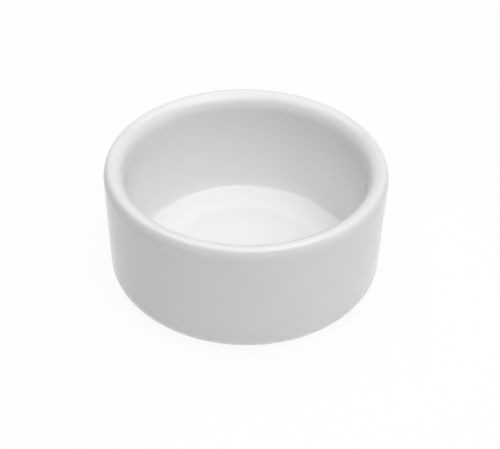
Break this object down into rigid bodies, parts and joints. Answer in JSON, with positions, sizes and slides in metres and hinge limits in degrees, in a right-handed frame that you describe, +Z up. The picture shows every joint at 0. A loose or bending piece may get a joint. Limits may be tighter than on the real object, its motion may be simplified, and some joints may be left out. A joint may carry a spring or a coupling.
{
  "type": "ramekin",
  "caption": "Round white porcelain ramekin with a smooth, nearly upright wall, a thick rounded lip, a flat floor and a low foot ring.",
  "frame": {"origin": "on the table, under the middle of the foot ring", "axes": "+Z up along the cup's axis; the cup is round, so X and Y may point any way"},
  "size_m": [0.07, 0.07, 0.0327],
  "materials": {
    "bare_porcelain": "fired porcelain without glaze, ground smooth on the foot",
    "white_glaze": "clear gloss glaze over white porcelain"
  },
  "bodies": {
    "root": {"body": "bare_porcelain", "glaze_coat": "white_glaze", "base_glaze": "white_glaze"}
  },
  "joints": []
}
